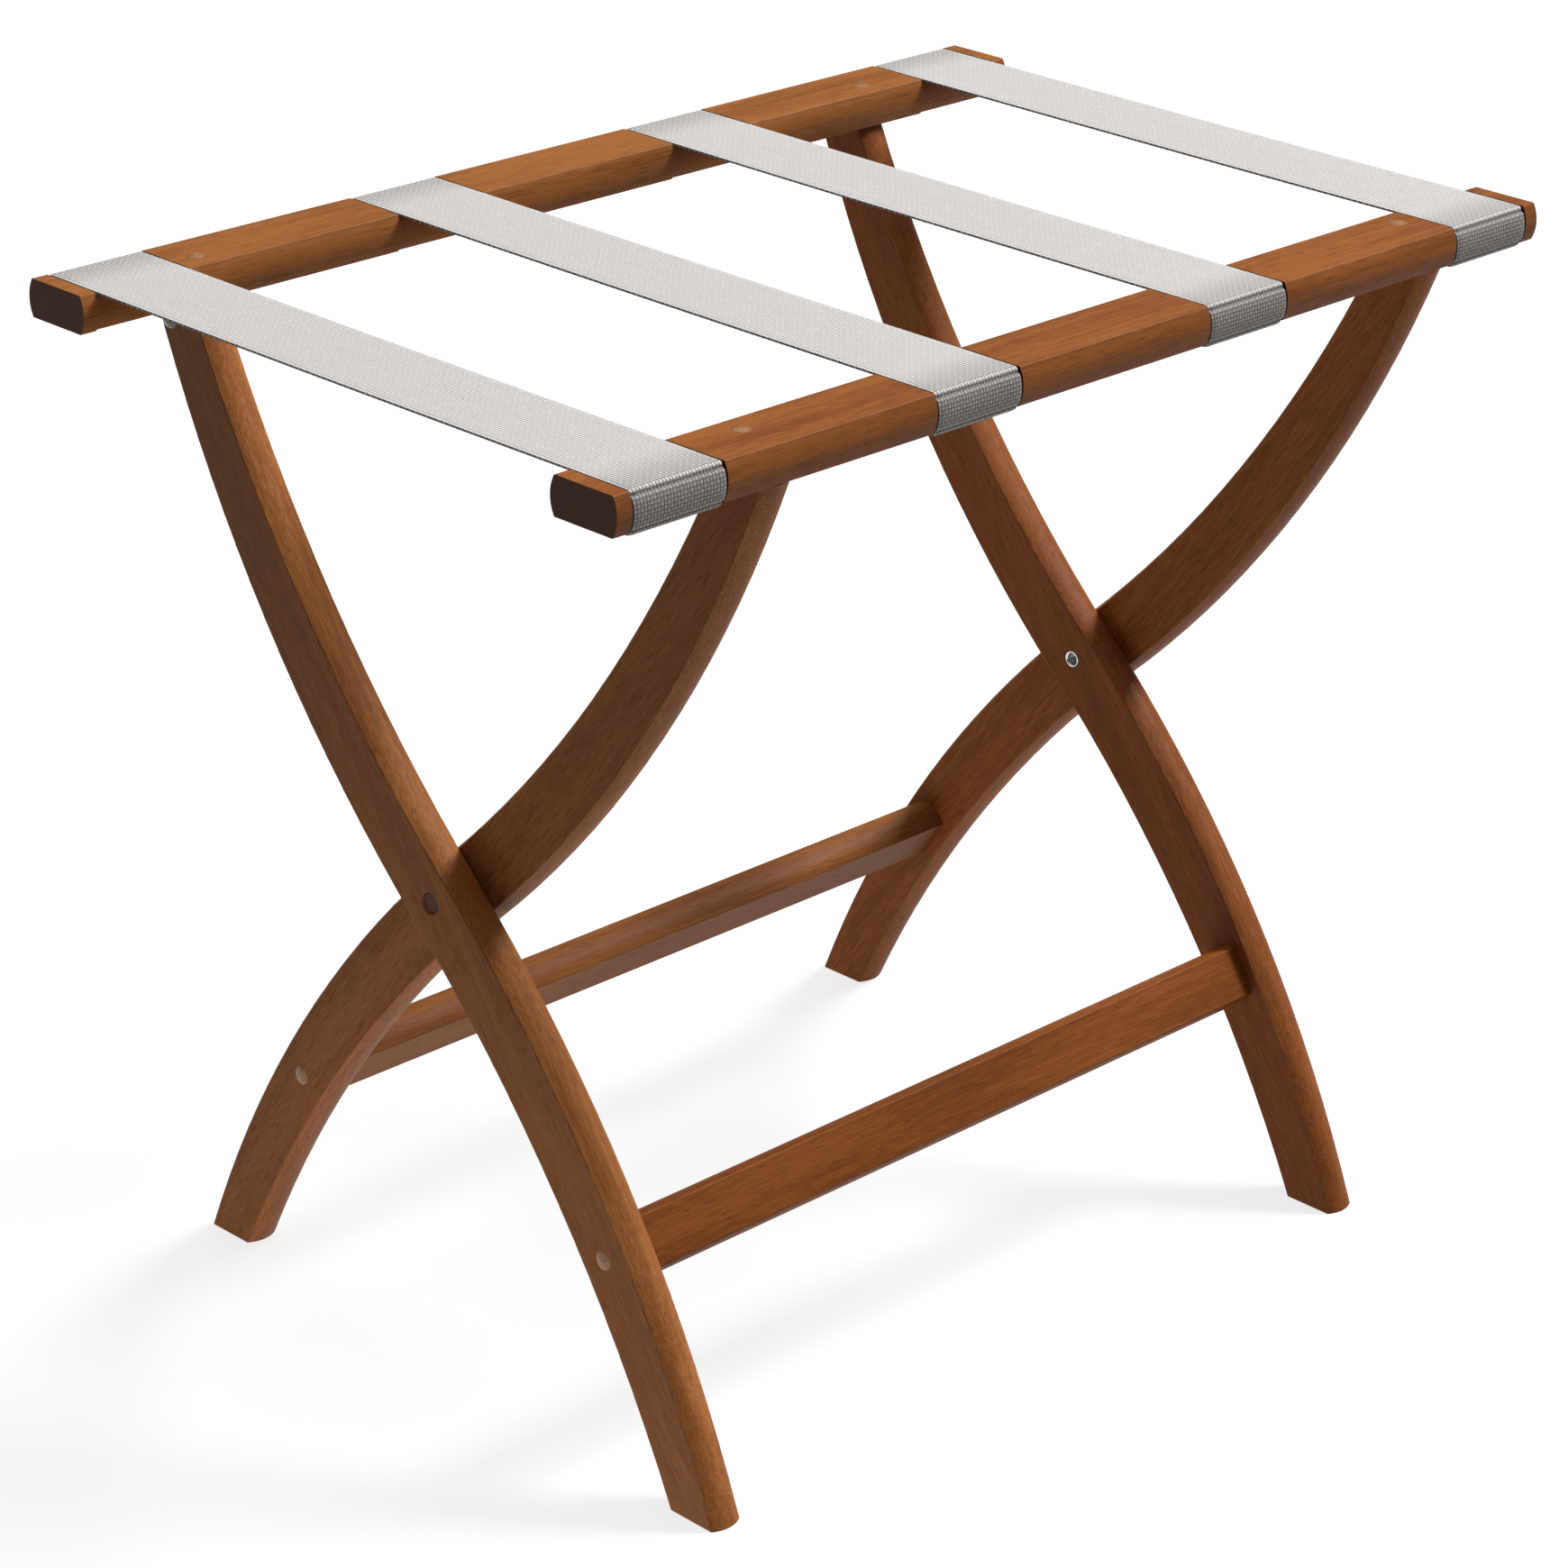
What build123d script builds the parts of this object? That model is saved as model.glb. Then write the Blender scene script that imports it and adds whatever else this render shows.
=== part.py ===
from build123d import *
from math import atan2, cos, degrees, radians, sin, sqrt
import os

# Folding luggage rack. Millimetres, +Z up, origin on the floor midway between the feet.
# X runs across the two top rails, Y along them. The far frame has its rail at -X and its feet
# at +X; the near frame is the far frame turned half a turn about Z.

# Overall
RACK_HEIGHT = 500.0        # floor to the rails' flat tops
RAIL_LENGTH = 591.0
RAIL_X = 168.8             # middle of each rail from the middle of the rack
OUTER_LEG_Y = 230.5        # outer face of the outer legs

# Wooden stock: flat faces with crowned narrow sides
RAIL_WIDTH = 34.0          # flat top, without the crowned sides
RAIL_DEPTH = 18.0
STOCK = 17.5               # thickness of legs and stretchers
CROWN = 2.5                # bulge of every crowned side
EDGE_ROUND = 0.9           # softened corner between a flat face and a crowned side
FOOT_ROUND = 0.6           # worn edge round each foot

# Legs: an arc above the pivot and the same arc turned half a turn below it
LEG_RADIUS = 700.0
LEG_SLANT = radians(47.5)  # leg direction at the pivot, from vertical
LEG_HALF_PIVOT = 15.9      # half width at the pivot, crown not counted
LEG_HALF_END = 11.8        # half width at the top and the foot
LEG_GAP = 0.9              # between the two legs of a crossing pair
LEG_OVERRUN = 0.05         # extra arc, in radians, trimmed level at top and foot
STRIP_DEPTH = 2.5          # how far the crowned edge strips reach into a leg's core

# Stretchers
STRETCHER_WIDTH = 24.0     # flat face, without the crowned edges
STRETCHER_ARC = 176.0      # along the leg, from the pivot

# Straps and the seats cut for them in the rails
STRAP_WIDTH = 50.8
STRAP_THICK = 1.6
STRAP_Y = [-261.0, -87.0, 87.0, 261.0]
STRAP_SAG = 0.3
STRAP_TAIL = 10.8          # strap end under the rail, from the rail's middle
SEAT_WIDTH = 52.6
SEAT_DEPTH = 1.4
SKIN = 0.05                # clearance between a strap and its seat
SECTION_GAP = 0.4          # clearance between strap sections

# Screws and plugs
PLUG_RADIUS = 4.5
PLUG_DEPTH = 4.6
PLUG_DOME = 0.9
SCREW_HEAD = 4.0
SCREW_HEAD_HEIGHT = 2.6
SCREW_SHANK = 2.1
SCREW_LENGTH = 42.0
SCREW_POINT = 6.0
CROSS_LONG = 4.4           # cross recess of a screw head
CROSS_WIDE = 0.9
CROSS_DEEP = 1.6
PLUG_GAP = 0.3             # between a plug and its screw head
RAIL_SCREW_X = 163.5
HOLE_EASE = 0.05

# Pivot hardware
CAP_RADIUS = 4.9
CAP_RECESS = 0.9
CAP_THICK = 1.4
BOLT_HEAD = 4.7
BOLT_HEAD_HEIGHT = 3.0
BOLT_SHANK = 3.0
BOLT_SOCKET = 2.3
BOLT_SOCKET_DEPTH = 1.8
POCKET_RADIUS = 5.0
POCKET_CHAMFER = 0.7
BARREL_RADIUS = 4.5
BARREL_RECESS = 0.3
BOLT_SHORT = 4.0           # bolt end stops this far inside the barrel's mouth
RUNNING_EASE = 0.06
WASHER_RADIUS = 8.5
WASHER_THICK = 0.5

# Staples under the rails
STAPLE_SPAN = 12.0
STAPLE_WIRE = 0.7
STAPLE_LEG = 8.0
STAPLE_OFFSET = 13.0

# Clear bumper on the outer leg's face
BUMPER_RADIUS = 4.8
BUMPER_HEIGHT = 2.2
BUMPER_X = -172.8
BUMPER_Z = 470.5

RAIL_BOTTOM = RACK_HEIGHT - RAIL_DEPTH
SEAT_TOP = RACK_HEIGHT - SEAT_DEPTH
PIVOT_Z = RAIL_BOTTOM / 2
RAIL_INNER_X = RAIL_X - RAIL_WIDTH / 2
INNER_LEG_Y = OUTER_LEG_Y - STOCK - LEG_GAP      # outer face of the inner legs
SLANT_NORMAL = (cos(LEG_SLANT), sin(LEG_SLANT))
HALF_TURN = Rot(0, 0, 180)
UPRIGHT = Rot(90, 0, 0)                          # sketch plane X-Y stood up as X-Z, thickness to -Y
FROM_BASE = (Align.CENTER, Align.CENTER, Align.MIN)


# ---------------------------------------------------------------- helpers

def crowned_section(width, depth):
    """Flat faces above and below, crowned sides left and right, centred on the origin."""
    w = width / 2
    d = depth / 2
    outline = [
        Line((-w, d), (w, d)),
        ThreePointArc((w, d), (w + CROWN, 0), (w, -d)),
        Line((w, -d), (-w, -d)),
        ThreePointArc((-w, -d), (-w - CROWN, 0), (-w, d)),
    ]
    face = make_face(outline)
    return fillet(face.vertices(), EDGE_ROUND)


def rod(start, direction, radius, length):
    """A cylinder from start along direction."""
    along = Plane(origin=start, z_dir=direction)
    return along * Cylinder(radius, length, align=FROM_BASE)


def box_between(low, high):
    size = [b - a for a, b in zip(low, high)]
    centre = [(a + b) / 2 for a, b in zip(low, high)]
    return Pos(*centre) * Box(*size)


def plug(surface, outward):
    """A button plug whose dome stands just proud of the surface it closes."""
    inward = [-c for c in outward]
    ball = (PLUG_RADIUS**2 + PLUG_DOME**2) / (2 * PLUG_DOME)
    centre = [s - (ball - PLUG_DOME) * c for s, c in zip(surface, outward)]
    body = rod(surface, inward, PLUG_RADIUS - HOLE_EASE, PLUG_DEPTH)
    dome = rod(surface, outward, PLUG_RADIUS - HOLE_EASE, PLUG_DOME * 2)
    return body + (dome & Pos(*centre) * Sphere(ball))


def screw(surface, outward):
    """A countersunk wood screw that sits below its plug."""
    inward = [-c for c in outward]
    depth = PLUG_DEPTH + PLUG_GAP
    straight = SCREW_LENGTH - SCREW_POINT
    head_top = [s + depth * c for s, c in zip(surface, inward)]
    along = Plane(origin=head_top, z_dir=inward)
    head = along * Cone(SCREW_HEAD, SCREW_SHANK, SCREW_HEAD_HEIGHT, align=FROM_BASE)
    shank = along * Cylinder(SCREW_SHANK, straight, align=FROM_BASE)
    tip = along * Pos(0, 0, straight) * Cone(SCREW_SHANK, 0.4, SCREW_POINT, align=FROM_BASE)
    slot_a = along * Box(CROSS_LONG, CROSS_WIDE, CROSS_DEEP, align=FROM_BASE)
    slot_b = along * Box(CROSS_WIDE, CROSS_LONG, CROSS_DEEP, align=FROM_BASE)
    return head + shank + tip - slot_a - slot_b


def screw_hole(surface, outward):
    """Counterbore for the plug, countersink and clearance for the screw."""
    inward = [-c for c in outward]
    depth = PLUG_DEPTH + PLUG_GAP
    seat = [s + depth * c for s, c in zip(surface, inward)]
    along = Plane(origin=seat, z_dir=inward)
    bore = rod([s - c for s, c in zip(surface, inward)], inward, PLUG_RADIUS, depth + 1)
    sink = along * Cone(SCREW_HEAD + 0.1, SCREW_SHANK + 0.1, SCREW_HEAD_HEIGHT + 0.1, align=FROM_BASE)
    way = rod(seat, inward, SCREW_SHANK + HOLE_EASE, SCREW_LENGTH + 0.5)
    return bore + sink + way


# ---------------------------------------------------------------- legs

def stretcher_place():
    """Centre-line point of a far-frame leg where the stretcher meets it, and the leg's normal there."""
    angle = LEG_SLANT - STRETCHER_ARC / LEG_RADIUS
    x = LEG_RADIUS * (cos(angle) - SLANT_NORMAL[0])
    z = PIVOT_Z + LEG_RADIUS * (sin(angle) - SLANT_NORMAL[1])
    return (x, z), (cos(angle), sin(angle))


def top_arc_length():
    """Arc length from the pivot to where the centre line meets the rail."""
    rise = PIVOT_Z / LEG_RADIUS
    level = SLANT_NORMAL[1] - rise
    return LEG_RADIUS * (LEG_SLANT - atan2(level, sqrt(1 - level**2)))


def edge_circle(side):
    """Circle of one long edge of the upper half: side +1 faces up and inward, -1 down and outward."""
    normal = Vector(*SLANT_NORMAL)
    start = normal * side * LEG_HALF_PIVOT
    angle = LEG_SLANT - top_arc_length() / LEG_RADIUS
    x = LEG_RADIUS * (SLANT_NORMAL[0] - cos(angle)) + side * LEG_HALF_END * cos(angle)
    z = LEG_RADIUS * (SLANT_NORMAL[1] - sin(angle)) + side * LEG_HALF_END * sin(angle)
    chord = Vector(x, z) - start
    radius = chord.length**2 / (2 * normal.dot(chord))
    return start + normal * radius, radius


def half_core(inset):
    """Upper half of a leg between its two edges, each moved in by inset, from the pivot line up."""
    sweep = top_arc_length() / LEG_RADIUS + LEG_OVERRUN
    ends = []
    for side in (1, -1):
        centre, radius = edge_circle(side)
        radius = radius + side * inset
        points = []
        for part in (0, 0.5, 1):
            angle = LEG_SLANT - sweep * part
            points.append(centre - Vector(cos(angle), sin(angle)) * radius)
        ends.append(points)
    inner, outer = ends
    outline = [
        ThreePointArc(*inner),
        Line(inner[2], outer[2]),
        ThreePointArc(outer[2], outer[1], outer[0]),
        Line(outer[0], inner[0]),
    ]
    return extrude(make_face(outline), STOCK)


def edge_strip(side):
    """Crowned strip along one long edge of the upper half."""
    centre, radius = edge_circle(side)
    keep = Rectangle(STRIP_DEPTH + CROWN * 2, STOCK + 2, align=(Align.MIN, Align.CENTER))
    profile = crowned_section(STRIP_DEPTH * 2, STOCK) & keep
    profile = Plane.XZ * (Pos(-STRIP_DEPTH, STOCK / 2) * profile)
    if side > 0:
        profile = mirror(profile, Plane.YZ)
    profile = Pos(radius, 0, 0) * profile
    sweep = degrees(top_arc_length() / LEG_RADIUS + LEG_OVERRUN)
    strip = revolve(profile, Axis.Z, sweep)
    start = 180 + degrees(LEG_SLANT) - sweep
    return Pos(centre.X, centre.Y, 0) * Rot(0, 0, start) * strip


def leg_blank(outer_face_y, outward):
    """A far-frame leg without holes; its outer face looks along Y in the outward sense."""
    half = half_core(STRIP_DEPTH * 0.6) + edge_strip(1) + edge_strip(-1)
    whole = half + Rot(0, 0, 180) * half
    whole = whole & box_between((-400, -PIVOT_Z, -1), (400, PIVOT_Z, STOCK + 1))
    foot = whole.faces().sort_by(Axis.Y)[0]
    whole = fillet(foot.edges(), FOOT_ROUND)
    back_y = outer_face_y + STOCK if outward < 0 else outer_face_y
    return Pos(0, back_y, PIVOT_Z) * UPRIGHT * whole


def leg_screw_points(outer_face_y, outward):
    """Surface points of the rail screw and of the stretcher screw of a far-frame leg."""
    middle_y = outer_face_y - outward * STOCK / 2
    (x, z), _ = stretcher_place()
    return (-RAIL_SCREW_X, middle_y, RACK_HEIGHT), (x, outer_face_y, z)


def far_leg(outer_face_y, outward, pivot_tool):
    leg = leg_blank(outer_face_y, outward)
    rail_screw, side_screw = leg_screw_points(outer_face_y, outward)
    leg -= screw_hole(rail_screw, (0, 0, 1))
    leg -= screw_hole(side_screw, (0, outward, 0))
    return leg - pivot_tool


def outer_pivot_tool():
    """Pocket and bore in the outer leg: cap and bolt head sit in the pocket."""
    face = (0, -OUTER_LEG_Y, PIVOT_Z)
    depth = CAP_RECESS + CAP_THICK + BOLT_HEAD_HEIGHT + 0.2
    pocket = rod((0, face[1] - 1, PIVOT_Z), (0, 1, 0), POCKET_RADIUS, depth + 1)
    rim = Plane(origin=face, z_dir=(0, 1, 0))
    lead = rim * Cone(POCKET_RADIUS + POCKET_CHAMFER, POCKET_RADIUS, POCKET_CHAMFER, align=FROM_BASE)
    bore = rod(face, (0, 1, 0), BOLT_SHANK + HOLE_EASE, STOCK + 1)
    return pocket + lead + bore


def inner_pivot_tool(outer_face_y):
    """Bore in the inner leg that turns on the barrel nut."""
    start = (0, outer_face_y - STOCK - 1, PIVOT_Z)
    return rod(start, (0, 1, 0), BARREL_RADIUS + RUNNING_EASE, STOCK + 2)


def bumper():
    """Small clear button stuck on the outer leg's face just under the rail."""
    ball = (BUMPER_RADIUS**2 + BUMPER_HEIGHT**2) / (2 * BUMPER_HEIGHT)
    face = (BUMPER_X, -OUTER_LEG_Y, BUMPER_Z)
    dome = rod(face, (0, -1, 0), BUMPER_RADIUS, BUMPER_HEIGHT)
    return dome & Pos(face[0], face[1] + ball - BUMPER_HEIGHT, face[2]) * Sphere(ball)


# ---------------------------------------------------------------- rails and stretchers

def rail_blank():
    face = Plane.XZ * crowned_section(RAIL_WIDTH, RAIL_DEPTH)
    bar = extrude(face, RAIL_LENGTH / 2, both=True)
    return Pos(-RAIL_X, 0, RACK_HEIGHT - RAIL_DEPTH / 2) * bar


def seat_section():
    """Rail section left under a strap: lower on top and narrower, flush at the bottom."""
    return crowned_section(RAIL_WIDTH - 2 * SEAT_DEPTH, RAIL_DEPTH - SEAT_DEPTH)


def far_rail():
    rail = rail_blank()
    high = RACK_HEIGHT + 5
    seat_z = RAIL_BOTTOM + (RAIL_DEPTH - SEAT_DEPTH) / 2
    core = extrude(Plane.XZ * seat_section(), SEAT_WIDTH / 2, both=True)
    for y in STRAP_Y:
        low_corner = (-RAIL_X - 30, y - SEAT_WIDTH / 2, RAIL_BOTTOM - 5)
        block = box_between(low_corner, (-RAIL_X + 30, y + SEAT_WIDTH / 2, high))
        rail -= block - Pos(-RAIL_X, y, seat_z) * core
    for face_y, outward in ((-OUTER_LEG_Y, -1), (INNER_LEG_Y, 1)):
        point, _ = leg_screw_points(face_y, outward)
        rail -= screw_hole(point, (0, 0, 1))
    return rail


def far_stretcher():
    """Bar between the two far-frame legs, its wide faces along the legs' direction."""
    (x, z), normal = stretcher_place()
    low = -OUTER_LEG_Y + STOCK
    high = INNER_LEG_Y - STOCK
    tilt = degrees(atan2(normal[1], normal[0]))
    section = Rot(0, 0, tilt - 90) * crowned_section(STRETCHER_WIDTH, STOCK)
    bar = Pos(x, high, z) * UPRIGHT * extrude(section, high - low)
    for face_y, outward in ((-OUTER_LEG_Y, -1), (INNER_LEG_Y, 1)):
        _, point = leg_screw_points(face_y, outward)
        bar -= screw_hole(point, (0, outward, 0))
    return bar


# ---------------------------------------------------------------- straps and staples

def strap_wrap(y):
    """Strap end at the far rail: from under the rail, round its outer side, over the top."""
    seat = seat_section()
    band = offset(seat, SKIN + STRAP_THICK) - offset(seat, SKIN)
    reach = Pos(-40, 0) * Rectangle(80 + 2 * STRAP_TAIL, 60)
    seat_mid = RAIL_BOTTOM + (RAIL_DEPTH - SEAT_DEPTH) / 2
    top = SEAT_TOP + SKIN - seat_mid
    lip_low = STRAP_TAIL - 0.5
    lip_high = RAIL_X - RAIL_INNER_X
    lip = Rectangle(lip_high - lip_low, STRAP_THICK)
    lip = Pos((lip_low + lip_high) / 2, top + STRAP_THICK / 2) * lip
    section = (band & reach) + lip
    solid = extrude(Plane.XZ * section, STRAP_WIDTH / 2, both=True)
    return Pos(-RAIL_X, y, seat_mid) * solid


def strap_span(y):
    """Far half of the free strap, from the rail's inner edge to the middle, sagging slightly."""
    top = SEAT_TOP + SKIN + STRAP_THICK
    reach = RAIL_INNER_X - SECTION_GAP
    outline = [
        ThreePointArc((-reach, top), (0, top - STRAP_SAG), (reach, top)),
        Line((reach, top), (reach, top - STRAP_THICK)),
        ThreePointArc((reach, top - STRAP_THICK), (0, top - STRAP_SAG - STRAP_THICK),
                      (-reach, top - STRAP_THICK)),
        Line((-reach, top - STRAP_THICK), (-reach, top)),
    ]
    band = extrude(Plane.XZ * make_face(outline), STRAP_WIDTH / 2, both=True)
    keep = box_between((-reach - 1, -STRAP_WIDTH, 0), (-SECTION_GAP / 2, STRAP_WIDTH, RACK_HEIGHT + 5))
    return Pos(0, y, 0) * (band & keep)


def far_staples():
    """Two staples under the rail for each strap end, crowns along the rail."""
    under = RAIL_BOTTOM - SKIN - STRAP_THICK
    group = []
    for y in STRAP_Y:
        for side in (-1, 1):
            mid = y + side * STAPLE_OFFSET
            low = mid - STAPLE_SPAN / 2
            high = mid + STAPLE_SPAN / 2
            west = -RAIL_X - STAPLE_WIRE
            east = -RAIL_X + STAPLE_WIRE
            crown = box_between((west, low, under - STAPLE_WIRE), (east, high, under))
            staple = crown
            for end in (low, high - STAPLE_WIRE):
                foot = (west, end, under - STAPLE_WIRE)
                tip = (east, end + STAPLE_WIRE, under + STAPLE_LEG)
                staple += box_between(foot, tip)
            group.append(staple)
    return Compound(children=group)


# ---------------------------------------------------------------- pivot hardware

def front_pivot():
    """Cap, bolt, barrel nut and washer of the front pivot, from the outer face inward."""
    y = -OUTER_LEG_Y + CAP_RECESS
    cap = rod((0, y, PIVOT_Z), (0, 1, 0), CAP_RADIUS, CAP_THICK)
    cap = fillet(cap.edges().sort_by(Axis.Y)[0], 0.5)
    head_y = y + CAP_THICK + 0.1
    leg_inner = -OUTER_LEG_Y + STOCK
    barrel_end = leg_inner + LEG_GAP + STOCK - BARREL_RECESS
    head = rod((0, head_y, PIVOT_Z), (0, 1, 0), BOLT_HEAD, BOLT_HEAD_HEIGHT)
    head = fillet(head.edges().sort_by(Axis.Y)[0], 0.6)
    socket = rod((0, head_y, PIVOT_Z), (0, 1, 0), BOLT_SOCKET, BOLT_SOCKET_DEPTH)
    shank = rod((0, head_y, PIVOT_Z), (0, 1, 0), BOLT_SHANK, barrel_end - BOLT_SHORT - head_y)
    bolt = head + shank - socket
    barrel = rod((0, leg_inner + 0.05, PIVOT_Z), (0, 1, 0), BARREL_RADIUS, barrel_end - leg_inner - 0.05)
    barrel -= rod((0, leg_inner - 1, PIVOT_Z), (0, 1, 0), BOLT_SHANK + 0.01, STOCK * 2)
    barrel = chamfer(barrel.edges().filter_by(GeomType.CIRCLE).sort_by(Axis.Y)[-2:], 0.5)
    washer_y = leg_inner + 0.1
    washer = rod((0, washer_y, PIVOT_Z), (0, 1, 0), WASHER_RADIUS, WASHER_THICK)
    washer -= rod((0, washer_y - 1, PIVOT_Z), (0, 1, 0), BARREL_RADIUS + 0.1, WASHER_THICK + 2)
    return {"cap": cap, "bolt": bolt, "barrel_nut": barrel, "washer": washer}


# ---------------------------------------------------------------- assembly

def far_frame():
    """Every piece of the far frame by the name it has there, with its half-turn twin's name."""
    outer = far_leg(-OUTER_LEG_Y, -1, outer_pivot_tool())
    inner = far_leg(INNER_LEG_Y, 1, inner_pivot_tool(INNER_LEG_Y))
    pieces = [
        ("rail_far", "rail_near", far_rail()),
        ("leg_front_outer", "leg_back_outer", outer),
        ("leg_back_inner", "leg_front_inner", inner),
        ("stretcher_near", "stretcher_far", far_stretcher()),
        ("staples_far", "staples_near", far_staples()),
        ("bumper_front", "bumper_back", bumper()),
    ]
    screws = [
        ("front_outer", "back_outer", -OUTER_LEG_Y, -1),
        ("back_inner", "front_inner", INNER_LEG_Y, 1),
    ]
    for name, twin, face_y, outward in screws:
        rail_point, side_point = leg_screw_points(face_y, outward)
        side = (0, outward, 0)
        pieces.append((f"rail_plug_{name}", f"rail_plug_{twin}", plug(rail_point, (0, 0, 1))))
        pieces.append((f"rail_screw_{name}", f"rail_screw_{twin}", screw(rail_point, (0, 0, 1))))
        pieces.append((f"stretcher_plug_{name}", f"stretcher_plug_{twin}", plug(side_point, side)))
        pieces.append((f"stretcher_screw_{name}", f"stretcher_screw_{twin}", screw(side_point, side)))
    for name, solid in front_pivot().items():
        pieces.append((f"pivot_{name}_front", f"pivot_{name}_back", solid))
    for index, y in enumerate(STRAP_Y):
        here = index + 1
        there = len(STRAP_Y) - index
        pieces.append((f"strap_{here}_far_wrap", f"strap_{there}_near_wrap", strap_wrap(y)))
        pieces.append((f"strap_{here}_far_span", f"strap_{there}_near_span", strap_span(y)))
    return pieces


os.makedirs("parts", exist_ok=True)
for name, twin, solid in far_frame():
    export_step(solid, f"parts/{name}.step")
    export_step(HALF_TURN * solid, f"parts/{twin}.step")
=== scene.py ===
from math import cos, pi, radians, sin

import bpy
from mathutils import Matrix, Vector


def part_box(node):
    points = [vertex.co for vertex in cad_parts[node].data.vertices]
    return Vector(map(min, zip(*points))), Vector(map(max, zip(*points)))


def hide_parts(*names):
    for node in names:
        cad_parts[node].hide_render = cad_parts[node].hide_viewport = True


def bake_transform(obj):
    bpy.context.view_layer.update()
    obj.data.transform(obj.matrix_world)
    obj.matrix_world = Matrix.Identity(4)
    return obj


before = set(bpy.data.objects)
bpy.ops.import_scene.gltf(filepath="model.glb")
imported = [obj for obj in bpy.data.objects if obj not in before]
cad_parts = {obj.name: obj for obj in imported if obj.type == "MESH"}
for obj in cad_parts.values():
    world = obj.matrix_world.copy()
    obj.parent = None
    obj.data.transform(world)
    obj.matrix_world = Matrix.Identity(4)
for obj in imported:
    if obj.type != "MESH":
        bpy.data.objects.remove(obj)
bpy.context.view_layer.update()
MM = 0.001

# Webbing
THICK = 1.6 * MM
CROWN = 2.5 * MM            # bulge of a rail's side
TAIL_PAST_MIDDLE = 10.8 * MM
YARNS = 28                  # across a strap
YARN_ALONG = 1.75 * MM
EDGE_SHARE = 0.62           # of the thickness, left at a selvedge
TURN_RADIUS = 2.1 * MM      # where a strap turns over and under its rail
TURN_BULGE = 0.42           # of that radius
TURN_STEPS = 6
TURN_EASE = 0.1 * MM
SIDE_STEPS = 12
SPAN_STEPS = 24
SPAN_START = 1.2 * MM       # how far onto the rail the span begins
SAG = 0.3 * MM
STEP = 1.8 * MM
SHARP = radians(50)

# Weave colours between the yarns and on a yarn
WEAVE_UNSHADED = ((0.12, 0.112, 0.107, 1), (0.80, 0.78, 0.765, 1))
# a painted-shade copy of the weave, for the strap past its fold over the rail
WEAVE_PAINTED_SHADE = ((0.070, 0.058, 0.052, 1), (0.52, 0.470, 0.440, 1))
WEAVE_DUST = (0.36, 0.335, 0.32, 1)
YARN_FLATNESS = 0.55        # the lower, the flatter a yarn's back
YARN_ARCH = 0.55            # how much of its height a yarn loses where it dips under
WEFT_HEIGHT = 0.82          # against the warp's
PAINTED_SHADE_REACH = (-1.0, 3.0)    # yarns past the turn over the rail
WEAR_REACH = (-16.0, -1.0)
# painted shadow line along the strap's fold over the rail
CREASE_AT = 0.9
CREASE_WIDTH = (0.6, 0.1)
CREASE_SHADE_SHARE = 0.3
SPECK_SHARE = 0.10
YARN_SHARE = 0.07
CLOUD_SHARE = 0.10
WEAR_SHARE = 0.18
PAINTED_SHADE_DEPTH = 0.12
WEAVE_RELIEF = 0.28 * MM

# Wood: how far each grain feature runs along the grain and across it, in metres
GRAIN_TONE = (0.16, 0.016)
GRAIN_BAND = (0.18, 0.0032)
GRAIN_STREAK = (0.016, 0.00042)
GRAIN_PORE = (0.009, 0.00038)
TONE_SHARE = 0.65
BAND_SHARE = 0.35
FULL_RANGE = (0.30, 0.72)   # grain level that runs from the dark to the light stain
EVENNESS = 0.40             # how far the stain evens the board out
PORE_RANGE = (0.56, 0.74)
PORE_SHARE = 0.50
END_SHARE = 0.88
LACQUER_ROUGHNESS = (0.46, 0.58)
PORE_ROUGHNESS = 0.2
RUB_AND_HIGHLIGHT_RADIUS = 0.9 * MM
GLUE_LINE = 0.7 * MM
GRAIN_RELIEF = 0.10 * MM
LEG_SLANT = radians(37)     # straight grain of a sawn leg, from vertical
ALONG_RAIL = (0, 1, 0)
DOWN_A = (sin(LEG_SLANT), 0, -cos(LEG_SLANT))
DOWN_B = (-sin(LEG_SLANT), 0, -cos(LEG_SLANT))

# Stained wood
OAK_DARK = (0.150, 0.044, 0.009, 1)
OAK_MID = (0.275, 0.090, 0.019, 1)
OAK_LIGHT = (0.400, 0.148, 0.036, 1)
OAK_PORE = (0.060, 0.017, 0.005, 1)
OAK_END = (0.036, 0.012, 0.006, 1)
# lighter wood for corners: rubbed wear and a painted highlight
OAK_RUB_AND_HIGHLIGHT = (0.420, 0.170, 0.050, 1)
PLUG_DARK = (0.24, 0.100, 0.034, 1)
PLUG_LIGHT = (0.42, 0.190, 0.070, 1)

BOARDS = {
    "rail_far": dict(along=ALONG_RAIL, seed=1.0, warmth=0.10),
    "rail_near": dict(along=ALONG_RAIL, seed=2.3, warmth=0.02, stain=(0.99, 0.92, 0.86)),
    "leg_front_outer": dict(along=DOWN_A, seed=3.1, figure=0.9, stain=(0.88, 0.94, 1.15), narrow_side_painted_light=1.7),
    "leg_back_inner": dict(along=DOWN_A, seed=4.7, figure=1.2, stain=(0.98, 0.86, 0.90)),
    "leg_back_outer": dict(along=DOWN_B, seed=5.9, figure=1.3, stain=(1.22, 1.12, 1.10)),
    "leg_front_inner": dict(along=DOWN_B, seed=6.4, figure=1.3, stain=(0.92, 0.94, 1.05), narrow_side_painted_light=1.35),
    "stretcher_near": dict(along=ALONG_RAIL, seed=7.7, warmth=0.02, stain=(0.90, 0.74, 0.50)),
    "stretcher_far": dict(along=ALONG_RAIL, seed=8.2),
}

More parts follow.
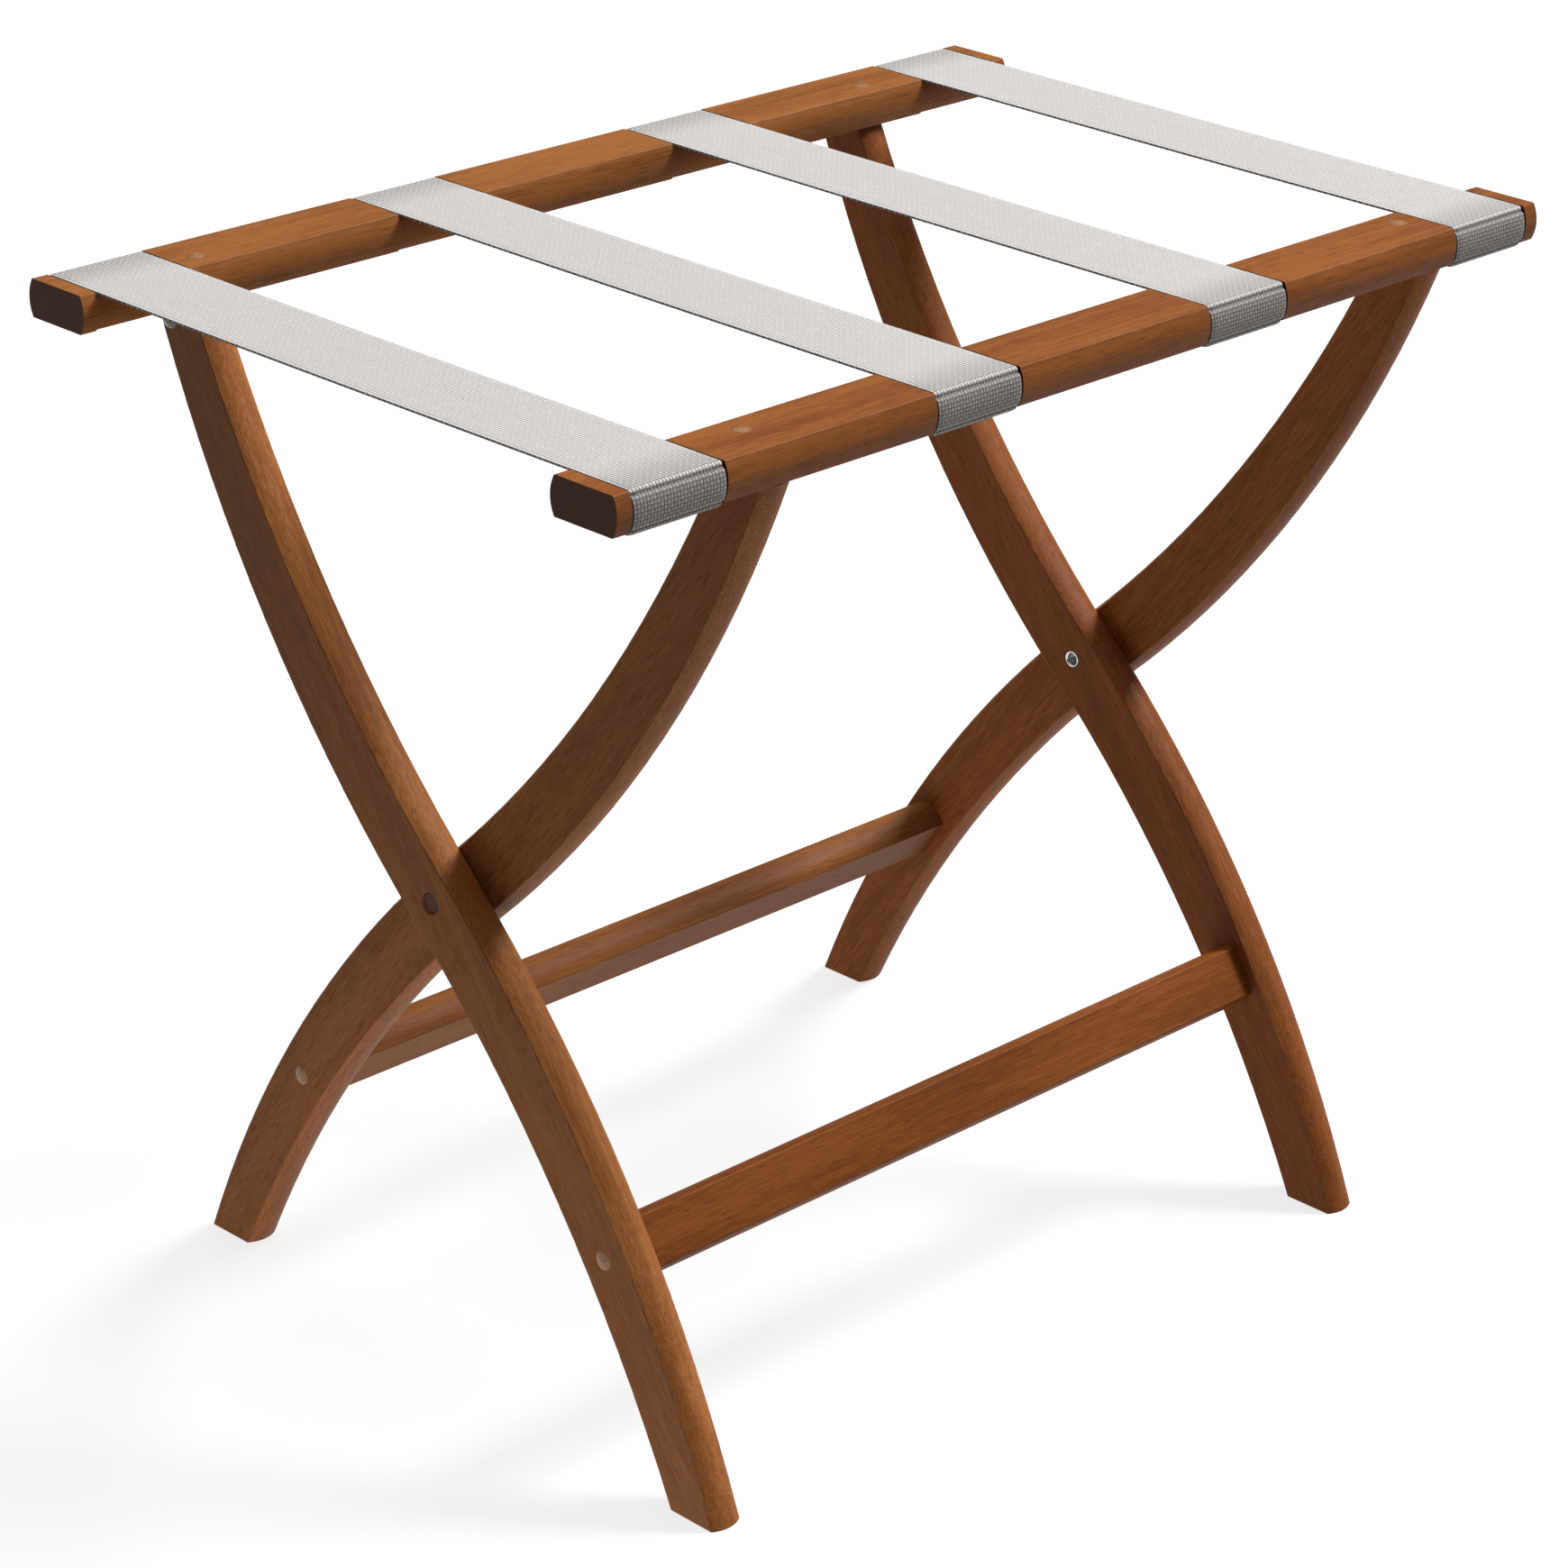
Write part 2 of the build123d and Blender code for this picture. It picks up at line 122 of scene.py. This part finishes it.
# Metal and plastic
ZINC = (0.52, 0.52, 0.53, 1)
BRIGHT_STEEL = (0.78, 0.77, 0.75, 1)
DULL_SHARE = 0.62
BROWN_CAP = ((0.075, 0.030, 0.016, 1), (0.115, 0.048, 0.024, 1))
NYLON = ((0.55, 0.53, 0.48, 1), (0.68, 0.66, 0.60, 1))
CLEAR_RUBBER = ((0.74, 0.74, 0.70, 1), (0.86, 0.86, 0.83, 1))

# Studio
BOUNCE_LIGHT = 0.80         # from below
SIDE_LIGHT = 0.036
OVERHEAD_LIGHT = 0.62
BEHIND = (-0.7, 0.7, 0)     # level direction from the camera to the back of the studio
FRONT_STRENGTH = 0.50
BACK_STRENGTH = 1.9
FLOOR_DARK = (0.27, 0.27, 0.27, 1)
FLOOR_LIGHT = (0.30, 0.30, 0.30, 1)
FLOOR_GLOW = 0.76
FLOOR_REACH = 20.0
WALL_DARK = (0.96, 0.96, 0.96, 1)
WALL_LIGHT = (0.99, 0.99, 0.99, 1)
WALL_RADIUS = 19.0
WALL_HEIGHT = 14.0
WALL_FACETS = 64
WARM_TINT = (1, 0.90, 0.78)

# Camera
AZIMUTH = radians(44.52)
ELEVATION = radians(22.72)
ROLL = radians(1.16)
DISTANCE = 2.337
LOOK_AT = Vector((-0.0062, -0.0038, 0.2671))
LENS = 113.8
SHIFT = (0.0010, -0.0463)


# ---------------------------------------------------------------- node helpers

class Graph:
    """A material's node tree with short calls for the nodes used here."""

    def __init__(self, name):
        self.material = bpy.data.materials.new(name)
        self.material.use_nodes = True
        self.tree = self.material.node_tree
        self.shader = self.tree.nodes["Principled BSDF"]

    def node(self, kind, **settings):
        made = self.tree.nodes.new(kind)
        for key, value in settings.items():
            setattr(made, key, value)
        return made

    def put(self, socket, value):
        if isinstance(value, bpy.types.NodeSocket):
            self.tree.links.new(value, socket)
        else:
            socket.default_value = value

    def math(self, operation, a, b=0.0):
        made = self.node("ShaderNodeMath", operation=operation)
        self.put(made.inputs[0], a)
        self.put(made.inputs[1], b)
        return made.outputs[0]

    def dot(self, a, b):
        made = self.node("ShaderNodeVectorMath", operation="DOT_PRODUCT")
        self.put(made.inputs[0], a)
        self.put(made.inputs[1], b)
        return made.outputs["Value"]

    def join(self, x, y, z=0.0):
        made = self.node("ShaderNodeCombineXYZ")
        for socket, value in zip(made.inputs, (x, y, z)):
            self.put(socket, value)
        return made.outputs[0]

    def place(self):
        return self.node("ShaderNodeTexCoord").outputs["Object"]

    def noise(self, vector, scale=1.0, detail=2.0, roughness=0.5):
        made = self.node("ShaderNodeTexNoise")
        self.put(made.inputs["Vector"], vector)
        self.put(made.inputs["Scale"], scale)
        self.put(made.inputs["Detail"], detail)
        self.put(made.inputs["Roughness"], roughness)
        return made.outputs["Fac"]

    def span(self, value, low, high, to_low=0.0, to_high=1.0):
        made = self.node("ShaderNodeMapRange", interpolation_type="SMOOTHSTEP")
        self.put(made.inputs["Value"], value)
        numbers = {"From Min": low, "From Max": high, "To Min": to_low, "To Max": to_high}
        for name, number in numbers.items():
            self.put(made.inputs[name], number)
        return made.outputs["Result"]

    def mix(self, factor, a, b, blend="MIX"):
        made = self.node("ShaderNodeMix", data_type="RGBA", blend_type=blend)
        self.put(made.inputs["Factor"], factor)
        self.put(made.inputs["A"], a)
        self.put(made.inputs["B"], b)
        return made.outputs["Result"]

    def bump(self, height, strength, distance):
        made = self.node("ShaderNodeBump")
        self.put(made.inputs["Strength"], strength)
        self.put(made.inputs["Distance"], distance)
        self.put(made.inputs["Height"], height)
        return made.outputs["Normal"]

    def set(self, **values):
        for name, value in values.items():
            self.put(self.shader.inputs[name.replace("_", " ")], value)


def grain_space(g, along, seed):
    """Coordinates turned so that X runs along the grain, shifted so that no two boards match."""
    where = g.place()
    across = Vector((0, 1, 0)) if abs(along.y) < 0.5 else Vector((1, 0, 0))
    side = along.cross(across).normalized()
    parts = []
    for k, axis in enumerate((along, across, side)):
        parts.append(g.math("ADD", g.dot(where, tuple(axis)), seed * (0.37 + 0.21 * k)))
    return g.join(*parts)


def stretched(g, space, size):
    """Grain coordinates divided by a feature's length and width."""
    scaled = g.node("ShaderNodeVectorMath", operation="MULTIPLY")
    g.put(scaled.inputs[0], space)
    g.put(scaled.inputs[1], (1 / size[0], 1 / size[1], 1 / size[1]))
    return scaled.outputs[0]


def facing(g, direction):
    """How squarely the surface faces a direction or its opposite, 0 to 1."""
    normal = g.node("ShaderNodeTexCoord").outputs["Normal"]
    return g.math("ABSOLUTE", g.dot(normal, tuple(direction)))


def near_corner(g, radius):
    """How near a point is to a sharp corner of the solid: 1 on the corner, 0 from radius away."""
    rounded = g.node("ShaderNodeBevel", samples=4)
    g.put(rounded.inputs["Radius"], radius)
    flat = g.node("ShaderNodeNewGeometry").outputs["True Normal"]
    return g.span(g.dot(rounded.outputs[0], flat), 0.995, 0.90)


# ---------------------------------------------------------------- materials

def wood(name, along, seed, warmth=0.0, figure=0.7, stain=(1, 1, 1), narrow_side_painted_light=1.0):
    """Open-grained stained wood under a satin lacquer.

    Boards differ: warmth lightens one, figure is the strength of its streaks, stain tints it,
    and the narrow-side factor is painted light that brightens the narrow sides of a leg."""
    g = Graph(name)
    along = Vector(along).normalized()
    space = grain_space(g, along, seed)
    tone = g.noise(stretched(g, space, GRAIN_TONE), detail=3)
    band = g.noise(stretched(g, space, GRAIN_BAND), detail=2, roughness=0.6)
    streak = g.noise(stretched(g, space, GRAIN_STREAK), detail=2, roughness=0.65)
    pore = g.noise(stretched(g, space, GRAIN_PORE), detail=1)
    level = g.math("ADD", g.math("MULTIPLY", tone, TONE_SHARE), g.math("MULTIPLY", band, BAND_SHARE))
    level = g.math("ADD", level, g.math("MULTIPLY", g.math("SUBTRACT", streak, 0.5), figure))
    lightness = g.span(level, FULL_RANGE[0] - warmth, FULL_RANGE[1] - warmth)
    colour = g.mix(EVENNESS, g.mix(lightness, OAK_DARK, OAK_LIGHT), OAK_MID)
    pores = g.span(pore, *PORE_RANGE)
    colour = g.mix(g.math("MULTIPLY", pores, PORE_SHARE), colour, OAK_PORE)
    colour = g.mix(1.0, colour, (*stain, 1), "MULTIPLY")
    # painted light: the narrow sides of a leg are made brighter, as if more light fell on them
    painted_light_mask = g.span(facing(g, (along.z, 0, -along.x)), 0.60, 0.92)
    painted_lit_colour = g.mix(1.0, colour, (narrow_side_painted_light, narrow_side_painted_light, narrow_side_painted_light, 1), "MULTIPLY")
    colour = g.mix(painted_light_mask, colour, painted_lit_colour)
    # end grain drinks more stain
    end = g.span(facing(g, along), 0.80, 0.97)
    colour = g.mix(g.math("MULTIPLY", end, END_SHARE), colour, OAK_END)
    # softened corners lighter: partly rubbed wear, partly a painted highlight along the rounded edge
    rub_and_highlight = g.math("MULTIPLY", near_corner(g, RUB_AND_HIGHLIGHT_RADIUS), g.span(streak, 0.35, 0.65, 0.15, 0.5))
    colour = g.mix(rub_and_highlight, colour, OAK_RUB_AND_HIGHLIGHT)
    rough = g.span(level, 0.2, 0.8, *LACQUER_ROUGHNESS)
    rough = g.math("ADD", rough, g.math("MULTIPLY", pores, PORE_ROUGHNESS))
    g.set(Base_Color=colour, Roughness=rough, Specular_IOR_Level=0.12)
    relief = g.math("SUBTRACT", g.math("MULTIPLY", streak, 0.5), pores)
    g.set(Normal=g.bump(relief, 0.30, GRAIN_RELIEF))
    return g.material


def weave_height(g, local, over):
    """Height of the uppermost yarn, each yarn round across and arched along."""
    round_yarn = []
    arch = []
    for k in (0, 1):
        swell = g.math("COSINE", g.math("MULTIPLY", local[k], pi))
        round_yarn.append(g.math("POWER", g.math("MAXIMUM", swell, 0.0), YARN_FLATNESS))
        arch.append(g.math("ADD", 1 - YARN_ARCH, g.math("MULTIPLY", swell, YARN_ARCH)))
    warp = g.math("MULTIPLY", round_yarn[0], arch[1])
    weft = g.math("MULTIPLY", round_yarn[1], arch[0])
    pick = g.node("ShaderNodeMix", data_type="FLOAT")
    g.put(pick.inputs["Factor"], over)
    g.put(pick.inputs["A"], warp)
    g.put(pick.inputs["B"], g.math("MULTIPLY", weft, WEFT_HEIGHT))
    return pick.outputs[0]


def webbing(turn_over):
    """Plain-woven flat yarns, laid out by the strap's own UV map, one unit per yarn.

    From turn_over yarns out, where a strap folds over its rail, the weave is darkened by painted
    shade, with a painted shadow along the fold, and is rubbed."""
    g = Graph("webbing")
    uv = g.node("ShaderNodeUVMap", uv_map="yarns").outputs[0]
    parts = g.node("ShaderNodeSeparateXYZ")
    g.put(parts.inputs[0], uv)
    cell = []
    local = []
    for k in (0, 1):
        cell.append(g.math("FLOOR", parts.outputs[k]))
        local.append(g.math("SUBTRACT", g.math("FRACT", parts.outputs[k]), 0.5))
    over = g.math("MODULO", g.math("ABSOLUTE", g.math("ADD", cell[0], cell[1])), 2.0)
    height = weave_height(g, local, g.math("GREATER_THAN", over, 0.5))
    # every yarn differs a little, and dirt and wear cloud the strap; past the fold, painted shade
    # darkens the rail's side
    speck = g.node("ShaderNodeTexWhiteNoise", noise_dimensions="2D")
    g.put(speck.inputs["Vector"], g.join(cell[0], cell[1]))
    yarn = g.node("ShaderNodeTexWhiteNoise", noise_dimensions="1D")
    g.put(yarn.inputs["W"], cell[0])
    cloud = g.noise(uv, scale=0.09, detail=3)
    past = g.math("SUBTRACT", g.math("ABSOLUTE", parts.outputs[1]), turn_over)
    # painted shade: the weave darker past the fold, down the rail's side and under it
    painted_shade = g.span(past, *PAINTED_SHADE_REACH)
    worn = g.span(past, *WEAR_REACH)
    crease_shade = g.span(g.math("ABSOLUTE", g.math("SUBTRACT", past, CREASE_AT)), *CREASE_WIDTH)
    shade = g.math("MULTIPLY", speck.outputs["Value"], SPECK_SHARE)
    for part, share in ((yarn.outputs["Value"], YARN_SHARE), (cloud, CLOUD_SHARE), (worn, WEAR_SHARE)):
        shade = g.math("ADD", shade, g.math("MULTIPLY", part, share))
    between = g.mix(painted_shade, WEAVE_UNSHADED[0], WEAVE_PAINTED_SHADE[0])
    on_yarn = g.mix(painted_shade, WEAVE_UNSHADED[1], WEAVE_PAINTED_SHADE[1])
    # painted shade also deepens the gaps between the yarns
    raised = g.math("SUBTRACT", height, g.math("MULTIPLY", painted_shade, PAINTED_SHADE_DEPTH))
    raised = g.math("SUBTRACT", raised, g.math("MULTIPLY", worn, WEAR_SHARE))
    colour = g.mix(g.span(raised, 0.05, 0.70), between, on_yarn)
    # painted shadow: a dark line along the fold over the rail's edge
    colour = g.mix(g.math("MULTIPLY", crease_shade, CREASE_SHADE_SHARE), colour, WEAVE_PAINTED_SHADE[0])
    colour = g.mix(shade, colour, WEAVE_DUST)
    g.set(Base_Color=colour, Roughness=g.span(height, 0.2, 0.9, 0.75, 0.50))
    g.set(Sheen_Weight=0.12, Sheen_Roughness=0.45, Specular_IOR_Level=0.35)
    g.set(Normal=g.bump(height, 0.75, WEAVE_RELIEF))
    return g.material


def plug_wood():
    """Pale turned plug with its own fine end grain and a dark glue line round it."""
    g = Graph("plug_wood")
    where = g.place()
    fleck = g.noise(where, scale=1400, detail=2)
    cloud = g.noise(where, scale=160, detail=2)
    level = g.math("ADD", g.math("MULTIPLY", fleck, 0.6), g.math("MULTIPLY", cloud, 0.4))
    colour = g.mix(g.span(level, 0.35, 0.68), PLUG_DARK, PLUG_LIGHT)
    colour = g.mix(g.math("MULTIPLY", near_corner(g, GLUE_LINE), 0.8), colour, OAK_PORE)
    rough = g.span(fleck, 0.3, 0.7, 0.24, 0.36)
    g.set(Base_Color=colour, Roughness=rough, Specular_IOR_Level=0.5)
    g.set(Normal=g.bump(fleck, 0.25, 0.1 * MM))
    return g.material


def metal(name, tint, rough):
    """Turned or plated steel with fine scratches."""
    g = Graph(name)
    where = g.place()
    scratch = g.noise(where, scale=2200, detail=3)
    cloud = g.noise(where, scale=240, detail=2)
    dull = tuple(c * DULL_SHARE for c in tint[:3]) + (1,)
    g.set(Base_Color=g.mix(g.span(cloud, 0.35, 0.7), tint, dull), Metallic=1.0)
    g.set(Roughness=g.span(scratch, 0.3, 0.7, rough - 0.08, rough + 0.12))
    g.set(Normal=g.bump(scratch, 0.12, 0.05 * MM))
    return g.material


def plastic(name, tints, rough, **more):
    """Moulded plastic with a faint orange-peel skin."""
    g = Graph(name)
    where = g.place()
    skin = g.noise(where, scale=1600, detail=2)
    cloud = g.noise(where, scale=200, detail=2)
    g.set(Base_Color=g.mix(g.span(cloud, 0.3, 0.7), *tints))
    g.set(Roughness=g.span(skin, 0.3, 0.7, rough - 0.05, rough + 0.1))
    g.set(Normal=g.bump(skin, 0.15, 0.05 * MM), **more)
    return g.material


def pale_floor():
    """Matt white floor that glows a little, so that shadows on it stay faint."""
    g = Graph("pale_floor")
    cloud = g.noise(g.place(), scale=0.6, detail=2)
    g.set(Base_Color=g.mix(cloud, FLOOR_DARK, FLOOR_LIGHT), Roughness=0.85)
    g.set(Specular_IOR_Level=0.05, Emission_Color=(1, 1, 1, 1), Emission_Strength=FLOOR_GLOW)
    return g.material


def pale_wall():
    """White wall that only glows."""
    g = Graph("pale_wall")
    tone = g.mix(g.noise(g.place(), scale=0.1), WALL_DARK, WALL_LIGHT)
    g.set(Base_Color=(0, 0, 0, 1), Specular_IOR_Level=0.0)
    g.set(Emission_Color=tone, Emission_Strength=1.0)
    return g.material


# ---------------------------------------------------------------- straps

def turn_points(start, end):
    """Points of a small bulging arc from start to end, both included."""
    points = []
    chord = end - start
    outward = Vector((chord.y, -chord.x)).normalized()
    for k in range(TURN_STEPS + 1):
        t = k / TURN_STEPS
        bulge = TURN_RADIUS * TURN_BULGE * (1 - (2 * t - 1) ** 2)
        points.append(start + chord * t + outward * bulge)
    return points


def strap_path(rail_mid, face, top, bottom, inner_edge):
    """Centre line in the X-Z plane, x growing outward, from the tail under the rail to mid span."""
    half = (top - bottom) / 2
    mid_z = (top + bottom) / 2
    lower_turn = Vector((face - TURN_RADIUS, bottom))
    upper_turn = Vector((face - TURN_RADIUS, top))
    points = [Vector((rail_mid - TAIL_PAST_MIDDLE, bottom)), lower_turn]
    points += turn_points(lower_turn, Vector((face - TURN_EASE, bottom + TURN_RADIUS)))
    for k in range(1, SIDE_STEPS):
        t = -1 + 2 * k / SIDE_STEPS
        if abs(t) * half < half - TURN_RADIUS:
            points.append(Vector((face + CROWN * (1 - t * t), mid_z + t * half)))
    points += turn_points(Vector((face - TURN_EASE, top - TURN_RADIUS)), upper_turn)
    points.append(Vector((inner_edge, top)))
    for k in range(1, SPAN_STEPS + 1):
        x = inner_edge * (1 - k / SPAN_STEPS)
        drop = SAG * (1 - (x / inner_edge) ** 2)
        points.append(Vector((x, top - drop)))
    return points


def resample(points, step):
    """Points at most about a step apart, every corner kept, each with its outward normal."""
    dense = []
    for a, b in zip(points, points[1:]):
        pieces = max(1, round((b - a).length / step))
        for k in range(pieces):
            dense.append(a.lerp(b, k / pieces))
    dense.append(points[-1])
    rows = []
    last = len(dense) - 1
    for k, place in enumerate(dense):
        along = dense[min(last, k + 1)] - dense[max(0, k - 1)]
        if k == last:
            along = Vector((-1, 0))
        rows.append((place, Vector((along.y, -along.x)).normalized()))
    return rows


def strap_verts(rows, turn, middle, width):
    """The outer layer row by row, then the inner layer."""
    verts = []
    for layer in (1, -1):
        for place, normal in rows:
            for k in range(YARNS + 1):
                share = EDGE_SHARE if k in (0, YARNS) else 1.0
                point = place + normal * (THICK / 2 * share) * layer
                across = -1 + 2 * k / YARNS
                verts.append((turn * point.x, middle + across * width / 2, point.y))
    return verts


def strap_faces(row_count, turn):
    """Quads of the closed strip: both layers, both selvedges and both ends."""
    per = YARNS + 1
    shift = row_count * per
    faces = []

    def quad(*corners):
        faces.append(corners[::-1] if turn > 0 else corners)

    for r in range(row_count - 1):
        for k in range(YARNS):
            a = r * per + k
            quad(a, a + 1, a + per + 1, a + per)
            quad(a + shift, a + per + shift, a + per + 1 + shift, a + 1 + shift)
        a = r * per
        quad(a, a + per, a + per + shift, a + shift)
        a += YARNS
        quad(a, a + shift, a + per + shift, a + per)
    for a in range(YARNS):
        quad(a, a + shift, a + 1 + shift, a + 1)
    for a in range(shift - per, shift - 1):
        quad(a, a + 1, a + 1 + shift, a + shift)
    return faces


def half_strap(index, near):
    """One half of a strap, from its tail under the rail round its side and over it to mid span."""
    side = "near" if near else "far"
    turn = 1 if near else -1
    wrap_low, wrap_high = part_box(f"strap_{index}_{side}_wrap")
    rail_low, rail_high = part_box(f"rail_{side}")
    rail_mid = abs(rail_low.x + rail_high.x) / 2
    outer = abs(wrap_high.x if near else wrap_low.x)
    face = outer - THICK / 2 - CROWN
    top = wrap_high.z - THICK / 2
    bottom = wrap_low.z + THICK / 2
    inner_edge = abs(rail_low.x if near else rail_high.x) + SPAN_START
    rows = resample(strap_path(rail_mid, face, top, bottom, inner_edge), STEP)
    middle = (wrap_low.y + wrap_high.y) / 2
    width = wrap_high.y - wrap_low.y
    lengths = [0.0]
    for a, b in zip(rows, rows[1:]):
        lengths.append(lengths[-1] + (b[0] - a[0]).length)
    total = lengths[-1]
    mesh = bpy.data.meshes.new(f"strap_{index}_{side}")
    mesh.from_pydata(strap_verts(rows, turn, middle, width), [], strap_faces(len(rows), turn))
    layer = mesh.uv_layers.new(name="yarns")
    for loop in mesh.loops:
        row, yarn = divmod(loop.vertex_index, YARNS + 1)
        from_middle = total - lengths[row % len(rows)]
        layer.data[loop.index].uv = (yarn, from_middle / YARN_ALONG * turn)
    mesh.polygons.foreach_set("use_smooth", [True] * len(mesh.polygons))
    mesh.materials.append(WEBBING)
    mesh.set_sharp_from_angle(angle=SHARP)
    piece = bpy.data.objects.new(f"strap_{index}_{side}", mesh)
    bpy.context.scene.collection.objects.link(piece)
    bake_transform(piece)
    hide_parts(f"strap_{index}_{side}_wrap", f"strap_{index}_{side}_span")


# ---------------------------------------------------------------- pieces

def paint(material, *names):
    """Give CAD nodes a look."""
    for name in names:
        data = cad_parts[name].data
        data.materials.clear()
        data.materials.append(material)


STRAP_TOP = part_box("strap_1_near_wrap")[1]
WEBBING = webbing((STRAP_TOP.x - CROWN - THICK) / YARN_ALONG)
for board, look in BOARDS.items():
    paint(wood(f"wood_{board}", **look), board)
paint(plug_wood(), *[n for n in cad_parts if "plug" in n])
STEEL_NAMES = ("screw", "staples", "pivot_bolt")
zinc = metal("zinc_steel", ZINC, 0.34)
paint(zinc, *[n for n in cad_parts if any(word in n for word in STEEL_NAMES)])
bright = metal("bright_steel", BRIGHT_STEEL, 0.22)
paint(bright, "pivot_barrel_nut_front", "pivot_barrel_nut_back")
cap = plastic("brown_cap", BROWN_CAP, 0.50, Specular_IOR_Level=0.15)
paint(cap, "pivot_cap_front", "pivot_cap_back")
nylon = plastic("nylon", NYLON, 0.40, Specular_IOR_Level=0.45)
paint(nylon, "pivot_washer_front", "pivot_washer_back")
rubber = plastic("clear_bumper", CLEAR_RUBBER, 0.16,
                 Specular_IOR_Level=0.45, Transmission_Weight=0.75, IOR=1.45)
paint(rubber, "bumper_front", "bumper_back")

for number in (1, 2, 3, 4):
    half_strap(number, False)
    half_strap(number, True)


# ---------------------------------------------------------------- stage, light and camera

def add_stage(name, verts, faces, material):
    """A backdrop that the camera and reflections see; the studio's own light passes through it."""
    mesh = bpy.data.meshes.new(name)
    mesh.from_pydata(verts, [], faces)
    mesh.materials.append(material)
    made = bpy.data.objects.new(name, mesh)
    made.visible_diffuse = False
    made.visible_shadow = False
    bpy.context.scene.collection.objects.link(made)
    return made


def add_floor():
    corners = [(x * FLOOR_REACH, y * FLOOR_REACH, 0) for x, y in ((-1, -1), (1, -1), (1, 1), (-1, 1))]
    add_stage("floor", corners, [(0, 1, 2, 3)], pale_floor())


def add_backdrop():
    """A pale round wall behind everything, seen only where the floor ends."""
    verts = []
    for z in (-0.01, WALL_HEIGHT):
        for k in range(WALL_FACETS):
            angle = 2 * pi * k / WALL_FACETS
            verts.append((WALL_RADIUS * cos(angle), WALL_RADIUS * sin(angle), z))
    faces = []
    for k in range(WALL_FACETS):
        after = (k + 1) % WALL_FACETS
        faces.append((k, after, after + WALL_FACETS, k + WALL_FACETS))
    wall = add_stage("backdrop", verts, faces, pale_wall())
    wall.visible_glossy = False


def area_light(name, place, target, size, power, tint=(1, 1, 1)):
    data = bpy.data.lights.new(name, "AREA")
    data.shape = "DISK"
    data.size = size
    data.energy = power
    data.color = tint
    lamp = bpy.data.objects.new(name, data)
    lamp.location = place
    aim = Vector(target) - Vector(place)
    lamp.rotation_euler = aim.to_track_quat("-Z", "Y").to_euler()
    bpy.context.scene.collection.objects.link(lamp)


def add_world():
    """Soft light from overhead, little from the sides, a bounce from below, stronger at the back."""
    world = bpy.data.worlds.new("studio")
    world.use_nodes = True
    nodes = world.node_tree.nodes
    links = world.node_tree.links
    background = nodes["Background"]
    direction = nodes.new("ShaderNodeTexCoord").outputs["Generated"]
    # brightness by height
    split = nodes.new("ShaderNodeSeparateXYZ")
    links.new(direction, split.inputs[0])
    height = nodes.new("ShaderNodeMapRange")
    height.inputs["From Min"].default_value = -1
    links.new(split.outputs["Z"], height.inputs["Value"])
    ramp = nodes.new("ShaderNodeValToRGB")
    ramp.color_ramp.interpolation = "EASE"
    stops = [(0.0, BOUNCE_LIGHT), (0.30, SIDE_LIGHT * 1.5), (0.60, SIDE_LIGHT), (1.0, OVERHEAD_LIGHT)]
    while len(ramp.color_ramp.elements) < len(stops):
        ramp.color_ramp.elements.new(0.5)
    for element, (place, level) in zip(ramp.color_ramp.elements, stops):
        element.position = place
        element.color = (level, level, level, 1)
    links.new(height.outputs["Result"], ramp.inputs["Fac"])
    links.new(ramp.outputs["Color"], background.inputs["Color"])
    # strength from front to back
    behind = nodes.new("ShaderNodeVectorMath")
    behind.operation = "DOT_PRODUCT"
    behind.inputs[1].default_value = BEHIND
    links.new(direction, behind.inputs[0])
    strength = nodes.new("ShaderNodeMapRange")
    strength.inputs["From Min"].default_value = -1
    strength.inputs["To Min"].default_value = FRONT_STRENGTH
    strength.inputs["To Max"].default_value = BACK_STRENGTH
    links.new(behind.outputs["Value"], strength.inputs["Value"])
    links.new(strength.outputs["Result"], background.inputs["Strength"])
    bpy.context.scene.world = world


def add_camera():
    level = cos(ELEVATION)
    outward = Vector((sin(AZIMUTH) * level, -cos(AZIMUTH) * level, sin(ELEVATION)))
    right = (-outward).cross(Vector((0, 0, 1))).normalized()
    up = right.cross(-outward)
    x = right * cos(ROLL) + up * sin(ROLL)
    y = up * cos(ROLL) - right * sin(ROLL)
    turned = Matrix((x, y, outward)).transposed().to_4x4()
    data = bpy.data.cameras.new("camera")
    data.sensor_width = 36
    data.lens = LENS
    data.shift_x, data.shift_y = SHIFT
    data.clip_end = 100
    camera = bpy.data.objects.new("camera", data)
    camera.matrix_world = Matrix.Translation(LOOK_AT + outward * DISTANCE) @ turned
    bpy.context.scene.collection.objects.link(camera)
    bpy.context.scene.camera = camera


add_floor()
add_backdrop()
add_world()
area_light("key", (1.9, 5.0, 6.3), (0, 0, 0.3), 2.8, 690)
area_light("floor_glow", (0.1, -0.5, -0.2), (0.05, -0.2, 0.1), 0.4, 1.0, WARM_TINT)
add_camera()
bpy.context.scene.view_settings.view_transform = "Standard"
bpy.context.scene.view_settings.look = "None"
